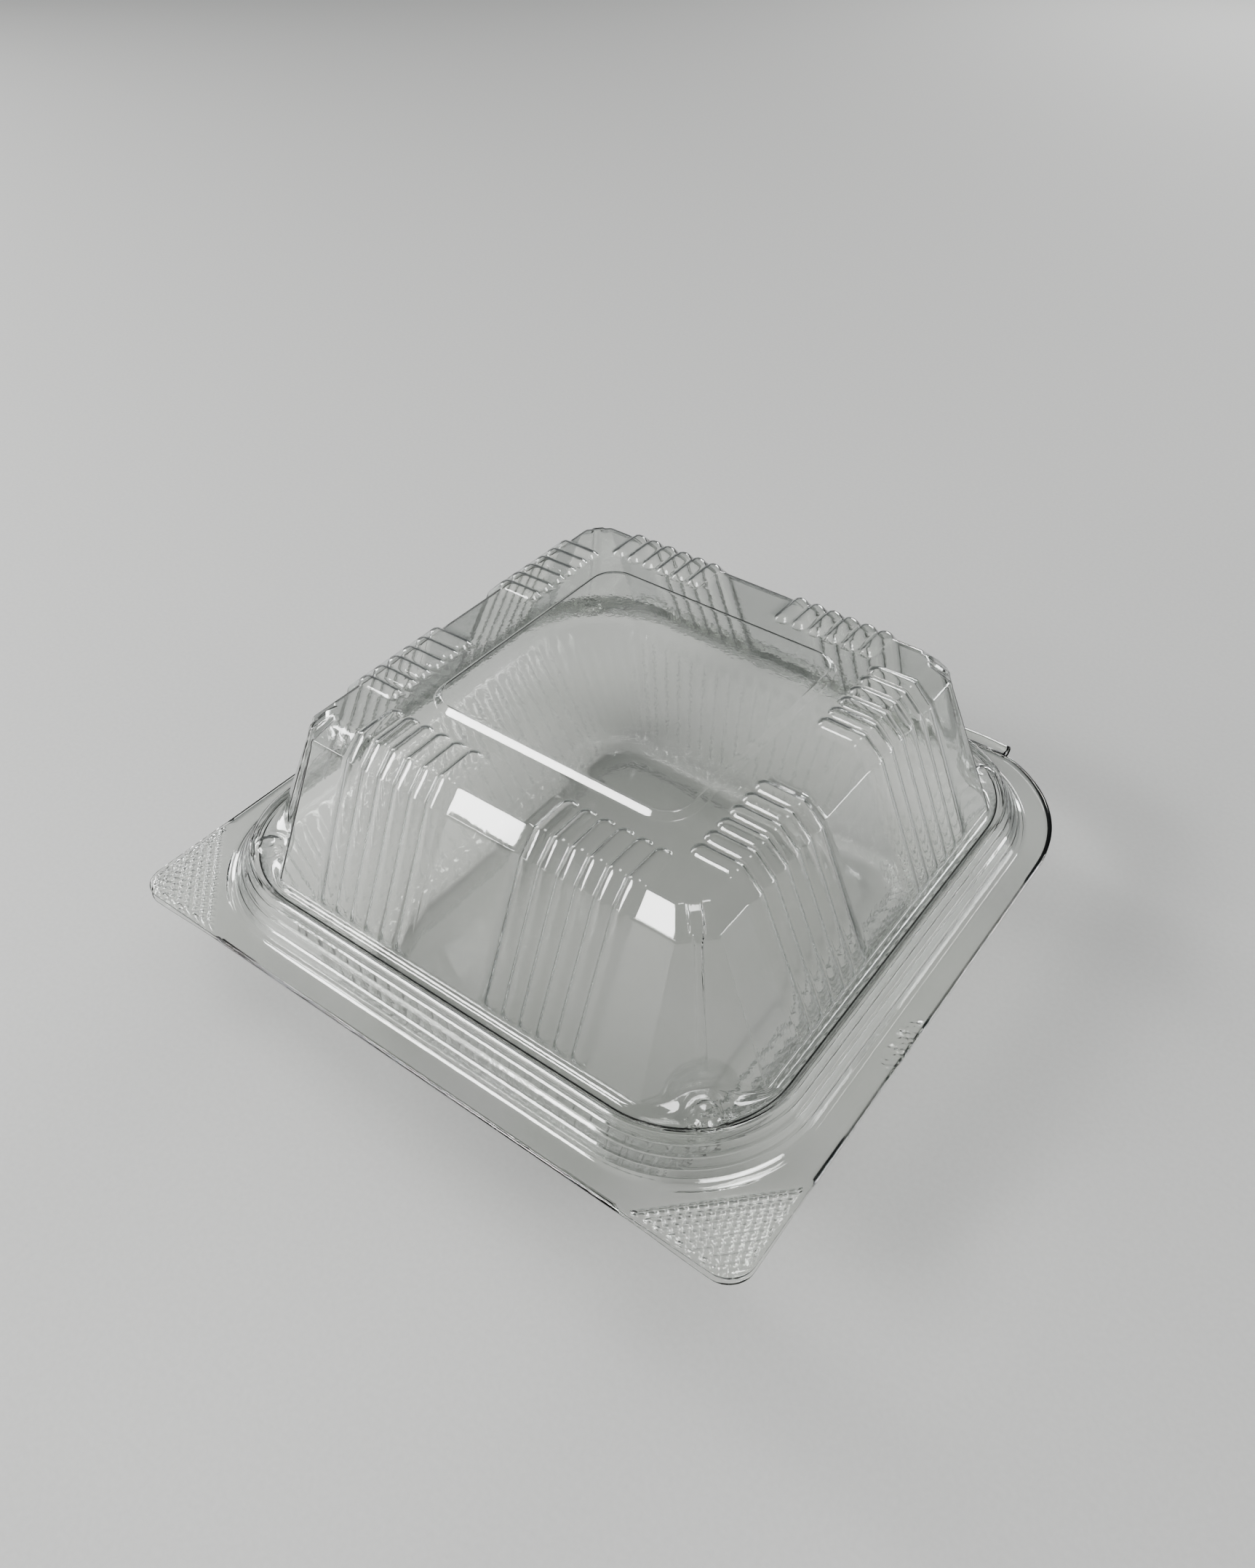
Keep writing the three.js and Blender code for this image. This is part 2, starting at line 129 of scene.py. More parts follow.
def resample(poly, t):
    poly = np.asarray(poly, float)
    seg = np.linalg.norm(np.diff(poly, axis=0), axis=1)
    s = np.concatenate([[0], np.cumsum(seg)]) / seg.sum()
    return np.interp(t, s, poly[:, 0]), np.interp(t, s, poly[:, 1])


def new_object(name, verts, faces):
    me = bpy.data.meshes.new(name)
    me.from_pydata((np.asarray(verts) * MM).tolist(), [], faces)
    me.validate()
    me.update()
    ob = bpy.data.objects.new(name, me)
    bpy.context.scene.collection.objects.link(ob)
    me.polygons.foreach_set("use_smooth", [True] * len(me.polygons))
    return ob


def vertex_normals(V, quads):
    """Area weighted vertex normals of a quad/tri list."""
    N = np.zeros_like(V)
    for size in sorted({len(f) for f in quads}):
        F = np.array([f for f in quads if len(f) == size], dtype=np.int64)
        n = np.zeros((len(F), 3))
        for k in range(1, size - 1):
            n += np.cross(V[F[:, k]] - V[F[:, 0]], V[F[:, k + 1]] - V[F[:, 0]])
        for k in range(size):
            np.add.at(N, F[:, k], n)
    L = np.linalg.norm(N, axis=1)
    L[L < 1e-12] = 1
    return N / L[:, None]


def thicken(V, faces, t):
    """The sheet whose upper face is V: returns vertices and faces of the closed shell."""
    V = np.asarray(V, float)
    N = vertex_normals(V, faces)
    # the far face follows fine detail more softly than the near one, as on formed sheet
    groups = [np.array([f for f in faces if len(f) == size], dtype=np.int64) for size in sorted({len(f) for f in faces})]
    for _ in range(3):
        S = np.zeros_like(N)
        for F in groups:
            mean = N[F].mean(axis=1)
            for k in range(F.shape[1]):
                np.add.at(S, F[:, k], mean)
        N = S / np.maximum(np.linalg.norm(S, axis=1), 1e-9)[:, None]
    n = len(V)
    edges = {}
    for f in faces:
        m = len(f)
        for k in range(m):
            a, b = f[k], f[(k + 1) % m]
            edges[(a, b)] = edges.get((a, b), 0) + 1
    border = [(a, b) for (a, b) in edges if (b, a) not in edges]
    under = [tuple(i + n for i in reversed(f)) for f in faces]
    rims = [(b, a, a + n, b + n) for a, b in border]
    return np.vstack([V, V - N * t]), list(faces) + under + rims


def weld(V, faces, tol=1e-3):
    """Merges vertices at the same place and drops faces that collapse."""
    key = np.round(np.asarray(V) / tol + 0.137).astype(np.int64)   # off the half steps, where round values would split
    _, first, inv = np.unique(key, axis=0, return_index=True, return_inverse=True)
    inv = inv.reshape(-1)
    V2 = np.asarray(V)[first]
    out, seen = [], set()
    for f in faces:
        g = []
        for i in f:
            j = int(inv[i])
            if not g or g[-1] != j:
                g.append(j)
        if len(g) > 1 and g[0] == g[-1]:
            g.pop()
        if len(set(g)) < 3 or len(set(g)) != len(g):
            continue
        k = tuple(sorted(g))
        if k in seen:
            continue
        seen.add(k)
        out.append(tuple(g))
    return V2, out


def grid_faces(rows, cols, closed, offset=0, flip=False):
    faces = []
    last = cols if closed else cols - 1
    for j in range(rows - 1):
        a0, b0 = offset + j * cols, offset + (j + 1) * cols
        for i in range(last):
            k = (i + 1) % cols
            f = (a0 + i, a0 + k, b0 + k, b0 + i)
            faces.append(f[::-1] if flip else f)
    return faces


def piecewise(points, at, t):
    points = np.asarray(points, float)
    return np.interp(t, at, points[:, 0]), np.interp(t, at, points[:, 1])


# ------------------------------------------------------- perimeter columns
def side_columns(flat_samples):
    """Lateral positions along a side between -33.5 and 33.5 that follow the ribs."""
    xs = []
    for g in (0, 1):
        for i in range(6):
            c = RIB_X[g * 6 + i]
            f = np.array([-1.0, -0.93, -0.8, -0.55, -0.2, 0.2, 0.55, 0.8, 0.93])
            xs += list(c + f * RIB_W / 2)
        xs.append(RIB_X[g * 6 + 5] + RIB_W / 2)
        if g == 0:
            gap = np.linspace(RIB_X[5] + RIB_W / 2, RIB_X[6] - RIB_W / 2, flat_samples + 2)[1:-1]
            xs += list(gap)
    xs = [x for x in xs if -33.45 < x < 33.45]
    return np.array([-33.5] + xs)


SIDE = side_columns(8)
N_CORNER = {0: 70, 1: 44, 2: 44, 3: 70}
T_CORNER = {}
for k, n in N_CORNER.items():
    T_CORNER[k] = np.linspace(0, 1, n + 1)[:-1]


def corner_curve(kind, data, which, t):
    """(along, outward) points of one row's corner for parameters t."""
    if kind == "flange":
        if which in (0, 3):
            pts = [(33.5, HALF), (HALF - TAB, HALF), (HALF, HALF - TAB), (HALF, 33.5)]
            return piecewise(pts, [0, 0.1, 0.9, 1], t)
        pts = []
        c, r = HALF - 30.0, 30.0
        for a in np.linspace(0, math.pi / 2, 40):
            x, y = c + r * math.sin(a), c + r * math.cos(a)
            pts.append((x, y))
        pts = [(33.5, HALF)] + pts + [(HALF, 33.5)]
        x, y = resample(pts, t)
        if which == 1:   # right side -> back side: 'along' runs to the back
            x = np.minimum(x, BACK)
        else:            # back side -> left side: 'outward' starts at the back
            y = np.minimum(y, BACK)
        return x, y
    if kind == "arc":
        h, r = data
        pts = [(33.5, h)] + [(h - r + r * math.sin(a), h - r + r * math.cos(a)) for a in np.linspace(0, math.pi / 2, 36)] + [(h, 33.5)]
        return resample(pts, t)
    if kind == "facet":
        h, cut, ease = data
        ease = min(ease, cut * 0.3)
        a = ease * math.tan(math.pi / 8)
        b = h - cut
        # straight run, rounded edge, facet, rounded edge, straight run
        def edge(p0, p1, p2, n):
            return [tuple((np.array(p0) * (1 - u) ** 2 + 2 * np.array(p1) * u * (1 - u) + np.array(p2) * u * u)) for u in np.linspace(0, 1, n)]
        s2 = math.sqrt(0.5)
        e1 = edge((b - a, h), (b, h), (b + a * s2, h - a * s2), 9)
        e2 = edge((h - a * s2, b + a * s2), (h, b), (h, b - a), 9)
        # parameter ranges: 0-.12 straight, .12-.22 edge, .22-.78 facet, .78-.88 edge, .88-1 straight
        x, y = np.zeros_like(t), np.zeros_like(t)
        m = t <= 0.12
        x[m], y[m] = piecewise([(33.5, h), e1[0]], [0, 0.12], t[m])
        m = (t > 0.12) & (t <= 0.22)
        x[m], y[m] = resample(e1, (t[m] - 0.12) / 0.10)
        m = (t > 0.22) & (t < 0.78)
        u = (t[m] - 0.5) / 0.28
        u = np.sign(u) * np.abs(u) ** 1.45
        p, q = np.array(e1[-1]), np.array(e2[0])
        x[m] = (p[0] + q[0]) / 2 + u * (q[0] - p[0]) / 2
        y[m] = (p[1] + q[1]) / 2 + u * (q[1] - p[1]) / 2
        m = (t >= 0.78) & (t < 0.88)
        x[m], y[m] = resample(e2, (t[m] - 0.78) / 0.10)
        m = t >= 0.88
        x[m], y[m] = piecewise([e2[-1], (h, 33.5)], [0.88, 1], t[m])
        return x, y
    if kind == "plain":   # inner loops: rounded square whose straight part may be short
        h, r = data
        pts = [(h - r + r * math.sin(a), h - r + r * math.cos(a)) for a in np.linspace(0, math.pi / 2, 30)]
        return resample(pts, t)
    raise ValueError(kind)


class Row:
    def __init__(self, half, z, kind, data, side_scale=1.0, half_y=None, mix=None):
        self.half, self.z, self.kind, self.data = half, z, kind, data
        self.side_scale, self.mix = side_scale, mix
        self.half_y = half if half_y is None else half_y


def row_points(row, side_cols, t_corner):
    """xyz of one closed row, plus for each column: which side, its lateral position, and its outward normal in plan."""
    P, lat, nor, zone = [], [], [], []
    for k, (n, d) in enumerate(FRAMES):
        back = row.kind == "flange" and k == 2
        w = BACK if back else row.half
        u = side_cols * row.side_scale
        pts = n[None, :] * w + d[None, :] * u[:, None]
        P.append(pts)
        lat.append(side_cols)
        nor.append(np.repeat(n[None, :], len(u), 0))
        zone.append(np.full(len(u), k))
        t = t_corner[k]
        al, ou = corner_curve(row.kind, row.data, k, t)
        if row.mix is not None:
            al2, ou2 = corner_curve(row.mix[0], row.mix[1], k, t)
            al, ou = al * (1 - row.mix[2]) + al2 * row.mix[2], ou * (1 - row.mix[2]) + ou2 * row.mix[2]
        pts = n[None, :] * ou[:, None] + d[None, :] * al[:, None]
        P.append(pts)
        lat.append(np.full(len(t), 99.0))
        blend = (t / max(t[-1], 1e-6))[:, None]
        m = n[None, :] * (1 - blend) + d[None, :] * blend
        m /= np.linalg.norm(m, axis=1)[:, None]
        nor.append(m)
        zone.append(np.full(len(t), 10 + k))
    P = np.vstack(P)
    return P, np.concatenate(lat), np.vstack(nor), np.concatenate(zone)


# ------------------------------------------------------------------- lid
def build_lid():
    rows = []
    C = 40.5
    rim = filleted(
        [(70.9, LID_Z), (70.1, 31.35), (69.35, 31.6), (68.62, 33.0), (68.2, 33.3), (67.45, 34.85), (66.9, 35.3),
         (66.2, 36.75), (65.8, 37.05), (65.2, 38.35), (64.6, 38.8), (63.2, 38.0)],
        [0.4, 0.25, 0.3, 0.25, 0.4, 0.25, 0.3, 0.25, 0.4, 0.45], [1, 1, 1, 1, 1, 1, 1, 1, 1, 1, 2])
    rows.append(Row(HALF, LID_Z, "flange", None))
    for share in (0.1, 0.22, 0.34, 0.46, 0.58, 0.72):
        rows.append(Row(HALF - 4.1 * share, LID_Z, "flange", None, mix=("arc", (70.9, 70.9 - C), share)))
    rows.append(Row(71.3, LID_Z + 0.02, "arc", (71.3, 71.3 - C)))
    for h, z in rim:
        rows.append(Row(h, z, "arc", (h, h - C)))
    # shelf, from the groove to the dome's foot
    foot, foot_z = 61.05, 39.0
    i_shelf = len(rows)
    for k, s in enumerate(np.linspace(0.06, 1.0, 16)):
        h = 63.2 + (foot + 0.15 - 63.2) * s
        z = 38.0 + 0.75 * smooth((s - 0.25) / 0.75) - 0.12 * math.sin(math.pi * min(s * 1.6, 1))
        rows.append(Row(h, z, "arc", (h, h - C), mix=("facet", (h, 16.0 + (h - foot), 3.0), s ** 0.9)))
    i_foot = len(rows)
    # dome: foot, wall, chamfer, top plane
    prof = [(foot, foot_z), (48.0, 68.35), (43.95, 72.3), (30.6, 72.42)]
    slope = np.array([48.0 - foot, 68.35 - foot_z])
    wall_s = [0.012, 0.03, 0.055, 0.09, 0.14, 0.2, 0.3, 0.42, 0.56, 0.7, 0.82, 0.91, 0.955]
    dome = []
    for s in wall_s:
        dome.append((foot + slope[0] * s, foot_z + slope[1] * s, s, "wall"))
    lower = filleted([(foot + slope[0] * 0.975, foot_z + slope[1] * 0.975), (48.0, 68.35), (46.9, 69.42)], [1.1], [1, 1])
    for h, z in lower:
        dome.append((h, z, 1.0, "knee"))
    for s in (0.35, 0.5, 0.65):
        dome.append((48.0 - 4.05 * s, 68.35 + 3.95 * s, 1.0, "chamfer"))
    upper = filleted([(45.1, 71.18), (43.95, 72.3), (42.6, 72.32)], [1.1], [1, 1])
    for h, z in upper:
        dome.append((h, z, 1.0, "knee"))
    for h in (41.4, 40.0, 38.6, 37.5, 36.9, 36.5, 36.1, 35.75, 35.4, 35.1, 34.85, 34.6, 34.3, 33.8):
        dome.append((h, 72.32 + (42.6 - h) * 0.008, 1.0, "top"))
    meta = {}
    for h, z, s, zone in dome:
        if zone == "wall":
            cut = 16.05 + (5.25 - 16.05) * s
            ease = 0.6
        elif h > 46.0:
            cut = 5.25 + (4.05 - 5.25) * (48.0 - h) / 4.05
            ease = 0.8
        elif h > 43.9:
            cut = 5.25 + (4.05 - 5.25) * (48.0 - h) / 4.05
            ease = 0.8
        else:
            f = (43.95 - h) / (43.95 - 33.8)
            cut = 4.05 * (1 - f) + 0.5 * f
            ease = 0.8
        # the straight part may not be shorter than the rib zone
        cut = min(cut, h - 33.55 - 0.05)
        meta[len(rows)] = (h, z, s, zone)
        rows.append(Row(h, z, "facet", (h, max(cut, 0.12), ease)))
    i_top = len(rows)
    scale = lambda h, r: (h - r) / 33.5
    for h, z, r in ((32.6, 72.40, 4.6), (31.6, 72.41, 5.8)):
        rows.append(Row(h, z, "plain", (h, r), side_scale=scale(h, r)))
    pan = filleted([(30.7, 72.42), (30.4, 72.43), (29.15, 73.66), (28.2, 73.7)], [0.3, 0.6], [1, 4, 1])
    for h, z in pan:
        r = 6.9 - (30.6 - h) * 0.9
        rows.append(Row(h, z, "plain", (h, r), side_scale=scale(h, r)))
    for h in (25.0, 19.0, 12.0, 6.0, 2.0):
        r = max(h * 0.18, 0.3)
        rows.append(Row(h, 73.7, "plain", (h, r), side_scale=scale(h, r)))

    cols = None
    V = []
    for j, row in enumerate(rows):
        P, lat, nor, zone = row_points(row, SIDE, T_CORNER)
        cols = len(P)
        X = np.column_stack([P, np.full(cols, row.z)])
        if j in meta:
            h, z, s, where = meta[j]
            # direction in which the ribs stand out of this row
            if where == "wall":
                n = np.array([29.35, 13.05]) / math.hypot(29.35, 13.05)
                amp = RIB_H * float(smooth(np.array((s - 0.004) / 0.05)))
            elif where == "knee" and h > 46.5:
                n = np.array([0.80, 0.58]); n /= np.linalg.norm(n); amp = RIB_H
            elif where == "chamfer":
                n = np.array([0.7, 0.714]); amp = RIB_H
            elif where == "knee":
                f = np.clip((45.1 - h) / 2.5, 0, 1)
                n = np.array([0.7 * (1 - f), 0.714 * (1 - f) + f]); n /= np.linalg.norm(n); amp = RIB_H
            else:
                n = np.array([0.0, 1.0]); amp = RIB_H
            tip = 34.8 + RIB_W / 2
            inward = max(0.0, tip - h) if where == "top" else 0.0
            f = rib_field(lat, inward)
            f[lat > 90] = 0
            # ribs spread slightly in height noise so that they don't look machined
            wob = 1 + 0.035 * np.sin(lat * 1.7 + j * 0.35)
            X[:, :2] += nor * (f * amp * n[0] * wob)[:, None]
            X[:, 2] += f * amp * n[1] * wob
            # beads on the corner facets
            if where in ("wall", "knee", "chamfer"):
                for k in range(4):
                    m = zone == 10 + k
                    pts = P[m]
                    nd, dd = FRAMES[k]
                    out = (nd + dd) / math.sqrt(2)
                    across = (pts @ dd - pts @ nd) / math.sqrt(2)
                    fade = float(smooth(np.array((s - 0.16) / 0.08))) if where == "wall" else 1.0
                    if where == "chamfer" or (where == "knee" and h < 46.5):
                        fade *= float(np.clip((h - 43.6) / 1.6, 0, 1))
                    half_w = 0.72 if where == "wall" else (0.72 + 0.62 * float(np.clip((48.4 - h) / 1.2, 0, 1)))
                    bead = 0.6 * smooth((half_w - np.abs(across)) / 0.30 + 0.5) * fade
                    lift = n if where != "wall" else np.array([0.93, 0.36])
                    Xm = X[m]
                    Xm[:, :2] += out[None, :] * (bead * lift[0])[:, None]
                    Xm[:, 2] += bead * lift[1]
                    X[m] = Xm
        # the foot of the dome draws in round the snap buttons on the shelf corners
        draw = 0.0
        if i_shelf <= j < i_foot:
            draw = float(smooth(np.array((j - i_shelf) / (i_foot - 1 - i_shelf) * 1.15)))
        elif j in meta and meta[j][3] == "wall":
            draw = float(1 - smooth(np.array((meta[j][2] - 0.02) / 0.22)))
        if draw > 0:
            diag = (np.abs(X[:, 0]) + np.abs(X[:, 1])) / math.sqrt(2)
            across = (np.abs(X[:, 0]) - np.abs(X[:, 1])) / math.sqrt(2)
            pull = 2.1 * np.exp(-(np.abs(across) / 5.0) ** 3) * draw * (diag > 66)
            X[:, 0] -= np.sign(X[:, 0]) * pull / math.sqrt(2)
            X[:, 1] -= np.sign(X[:, 1]) * pull / math.sqrt(2)
        if row.z < 40.5 and row.half < 66:
            for sx in (-1, 1):
                for sy in (-1, 1):
                    d = np.hypot(X[:, 0] - sx * 55.1, X[:, 1] - sy * 55.1)
                    low = 1 - smooth(np.array((row.z - 39.3) / 0.8))
                    X[:, 2] += low * (1.25 * smooth((2.9 - d) / 0.8) - 0.3 * smooth((1.5 - d) / 0.7) + 0.28 * np.exp(-((d - 3.9) / 0.35) ** 2))
        if row.kind == "flange":
            # a crumpled patch where the box has been gripped, and the small step past it
            m = (X[:, 0] > 71) & (X[:, 1] > -26) & (X[:, 1] < -5)
            win = smooth((X[:, 1] + 25) / 2.0) * smooth((-6 - X[:, 1]) / 2.0) * smooth((X[:, 0] - 71.6) / 0.8)
            a = np.sin(X[:, 1] * 2.9 + X[:, 0] * 1.7) * np.sin(X[:, 1] * 1.3 - X[:, 0] * 4.1 + 0.7) + 0.5 * np.sin(X[:, 1] * 5.3 + X[:, 0] * 3.1)
            # held up so that it stays clear of the tray's flange below
            X[:, 2] += np.where(m, np.maximum(0.55 * a * win - 0.2 * win, -0.36), 0)
            k = (X[:, 0] > 71) & (X[:, 1] > -45) & (X[:, 1] < -34)
            X[:, 2] += np.where(k, 0.14 * smooth((X[:, 1] + 39.6) / 0.7) * smooth((-36.5 - X[:, 1]) / 1.5) * smooth((X[:, 0] - 71.6) / 0.8), 0)
        V.append(X)
    faces = grid_faces(len(rows), cols, True)
    V = np.vstack(V)
    base = len(V)
    centre = V[-cols:].mean(0)
    V = np.vstack([V, centre])
    last = (len(rows) - 1) * cols
    for i in range(cols):
        faces.append((last + i, last + (i + 1) % cols, base))
    # finger tabs
    V, faces = add_tabs(V, faces, LID_Z, +1, T_CORNER[0])
    # the sheet sags and springs a little
    V = relax(V, LID_Z, 0.05)
    V, faces = weld(V, faces)
    return thicken(V, faces, SHEET)


def relax(V, z0, amount):
    """A very slight unevenness of the flange edge, as on thin formed sheet."""
    r = np.maximum(np.abs(V[:, 0]), np.abs(V[:, 1]))
    w = smooth((r - 68.0) / 7.0) * smooth((z0 + 1.2 - V[:, 2]) / 1.0)
    wave = 0.6 * np.sin(V[:, 0] * 0.062 + 0.8) + 0.4 * np.sin(V[:, 1] * 0.081 - 0.4 + V[:, 0] * 0.03)
    V[:, 2] += amount * wave * w * np.where(V[:, 1] > 66, 0.0, 1.0)
    return V


def add_tabs(V, faces, z, sign, t):
    """The knurled corner triangles, sharing the flange's cut line columns. sign is +1 for the lid, -1 for the tray.
    t: where the flange's columns lie round a front corner."""
    m = (t >= 0.1 - 1e-9) & (t <= 0.9 + 1e-9)
    coarse = np.concatenate([[0.1], t[m & (t > 0.1 + 1e-9) & (t < 0.9 - 1e-9)], [0.9]])
    fine = np.interp(np.arange((len(coarse) - 1) * 2 + 1) / 2, np.arange(len(coarse)), coarse)
    rows = 44 if sign > 0 else 34
    R = 5.2
    for side in (1, -1):
        counts = []
        grid = []
        for j in range(rows + 1):
            v = j / rows
            tt = coarse if j == 0 else fine
            leg = TAB * (1 - v) + R * v
            A = np.array([HALF - leg, -HALF])
            B = np.array([HALF, -(HALF - leg)])
            u = (tt - 0.1) / 0.8
            line = A[None, :] * (1 - u[:, None]) + B[None, :] * u[:, None]
            # the last rows swell into the rounded tip
            ang = -math.pi / 2 + u * math.pi / 2
            arc = np.column_stack([HALF - R + R * np.cos(ang), -(HALF - R) + R * np.sin(ang)])
            bulge = (arc - (np.array([HALF - R, -HALF])[None, :] * (1 - u[:, None]) + np.array([HALF, -(HALF - R)])[None, :] * u[:, None]))
            pts = line + bulge * smooth(np.array((v - 0.35) / 0.65)) * v ** 0.5
            x, y = pts[:, 0], pts[:, 1]
            # depth from the cut line, and position along it
            depth = ((x - HALF) + (-y - HALF) + TAB) / math.sqrt(2)
            along = (x + y) / math.sqrt(2)
            rowi = (depth - 0.75) / 1.66
            kn = np.abs(np.sin(math.pi * rowi)) ** 0.9
            stagger = np.where(np.floor(rowi).astype(int) % 2 == 0, 0.0, 0.5)
            kb = np.abs(np.sin(math.pi * (along / 1.72 + stagger))) ** 0.8
            edge = np.minimum(HALF - x, HALF + y)
            inside = smooth((depth - 0.75) / 0.25) * smooth((edge - 0.75) / 0.35)
            tip = np.hypot(x - (HALF - R), y + (HALF - R))
            corner = (x > HALF - R) & (y < -(HALF - R))
            inside = np.where(corner, inside * smooth((R - 0.75 - tip) / 0.35), inside)
            bump = 0.6 * kn * (0.5 + 0.5 * kb) * inside
            lift = (0.10 if sign > 0 else -0.95) * smooth(depth / 13.0)
            zz = z + bump + lift
            grid.append(np.column_stack([x * side, y, zz]))
            counts.append(len(x))
        off = len(V)
        V = np.vstack([V, np.vstack(grid)])
        flip = side > 0
        n0, n1 = counts[0], counts[1]
        for i in range(n0 - 1):
            f = (off + i, off + i + 1, off + n0 + 2 * i + 2, off + n0 + 2 * i + 1, off + n0 + 2 * i)
            faces.append(f[::-1] if flip else f)
        faces = faces + grid_faces(rows, n1, False, off + n0, flip=flip)
    return V, faces


# ------------------------------------------------------------------ tray
FLUTES_SIDE = 20
FLUTES_CORNER = 9
STRAIGHT = 38.5


def tray_columns():
    n = FLUTES_SIDE
    side = np.linspace(-STRAIGHT, STRAIGHT, n * 6 + 1)[:-1]
    return side


TRAY_SIDE = tray_columns()
TRAY_T = {0: np.linspace(0, 1, 81)[:-1], 1: np.linspace(0, 1, 61)[:-1], 2: np.linspace(0, 1, 61)[:-1], 3: np.linspace(0, 1, 81)[:-1]}


def tray_corner(kind, data, which, t):
    s0 = STRAIGHT
    if kind == "flange":
        if which in (0, 3):
            return piecewise([(s0, HALF), (HALF - TAB, HALF), (HALF, HALF - TAB), (HALF, s0)], [0, 0.1, 0.9, 1], t)
        c, r = HALF - 30.0, 30.0
        pts = [(s0, HALF)] + [(c + r * math.sin(a), c + r * math.cos(a)) for a in np.linspace(0, math.pi / 2, 40)] + [(HALF, s0)]
        x, y = resample(pts, t)
        if which == 1:
            x = np.minimum(x, BACK)
        else:
            y = np.minimum(y, BACK)
        return x, y
    if kind == "arc":
        hl, hw, r = data   # half length along the side before, half width of that side, radius
        pts = [(hl - r + r * math.sin(a), hw - r + r * math.cos(a)) for a in np.linspace(0, math.pi / 2, 36)]
        return resample(pts, t)
    raise ValueError(kind)


